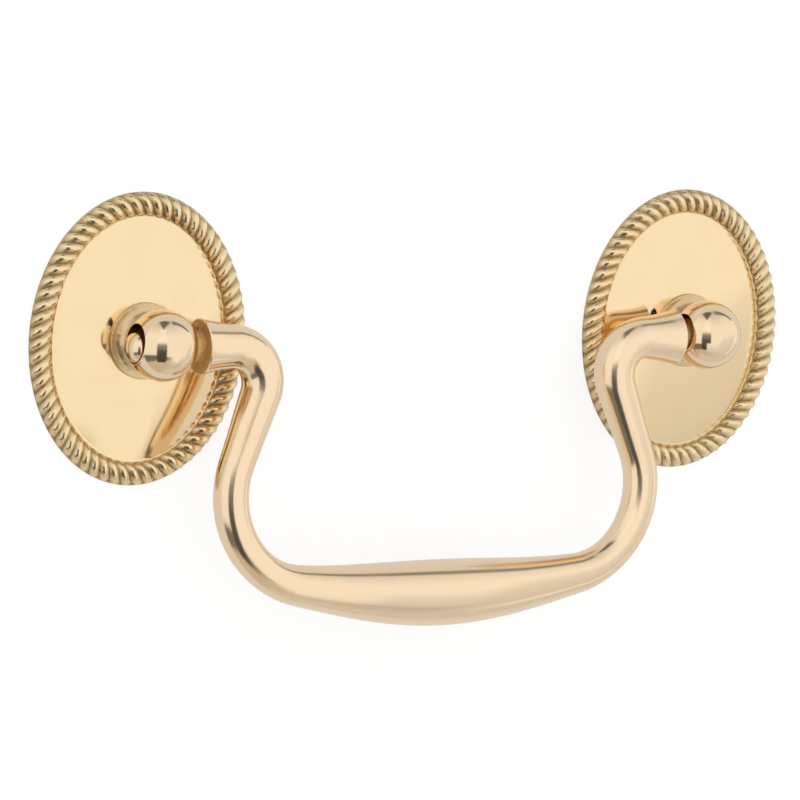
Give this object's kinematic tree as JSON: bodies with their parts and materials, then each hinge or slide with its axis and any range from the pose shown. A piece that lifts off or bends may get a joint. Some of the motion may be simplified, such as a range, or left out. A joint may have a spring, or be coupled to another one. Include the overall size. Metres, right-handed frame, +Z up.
{
  "type": "bail pull",
  "caption": "Swan-neck bail pull hanging from ball-headed threaded posts, each on a domed oval rosette with a rope-twist rim, for a drawer or cabinet door.",
  "frame": {"origin": "midway between the two posts' axes, on the plane of the rosettes' backs", "axes": "+X from the left post to the right post as seen from the front, +Y back into the drawer front along the studs, +Z up"},
  "size_m": [0.1046, 0.0377, 0.0518],
  "materials": {
    "polished_brass": "polished",
    "plain_brass": "satin"
  },
  "bodies": {
    "backing": {"left_rosette": "polished_brass", "left_post": "polished_brass", "left_nut": "plain_brass", "right_rosette": "polished_brass", "right_post": "polished_brass", "right_nut": "plain_brass"},
    "bail": {"bail": "polished_brass"}
  },
  "joints": [
    {"name": "bail_swing", "type": "hinge", "parent": "backing", "child": "bail", "pos_m": [0, -0.0063, -0.0002], "axis": [-1, 0, 0], "range_deg": [-7.8, 180.3]}
  ]
}
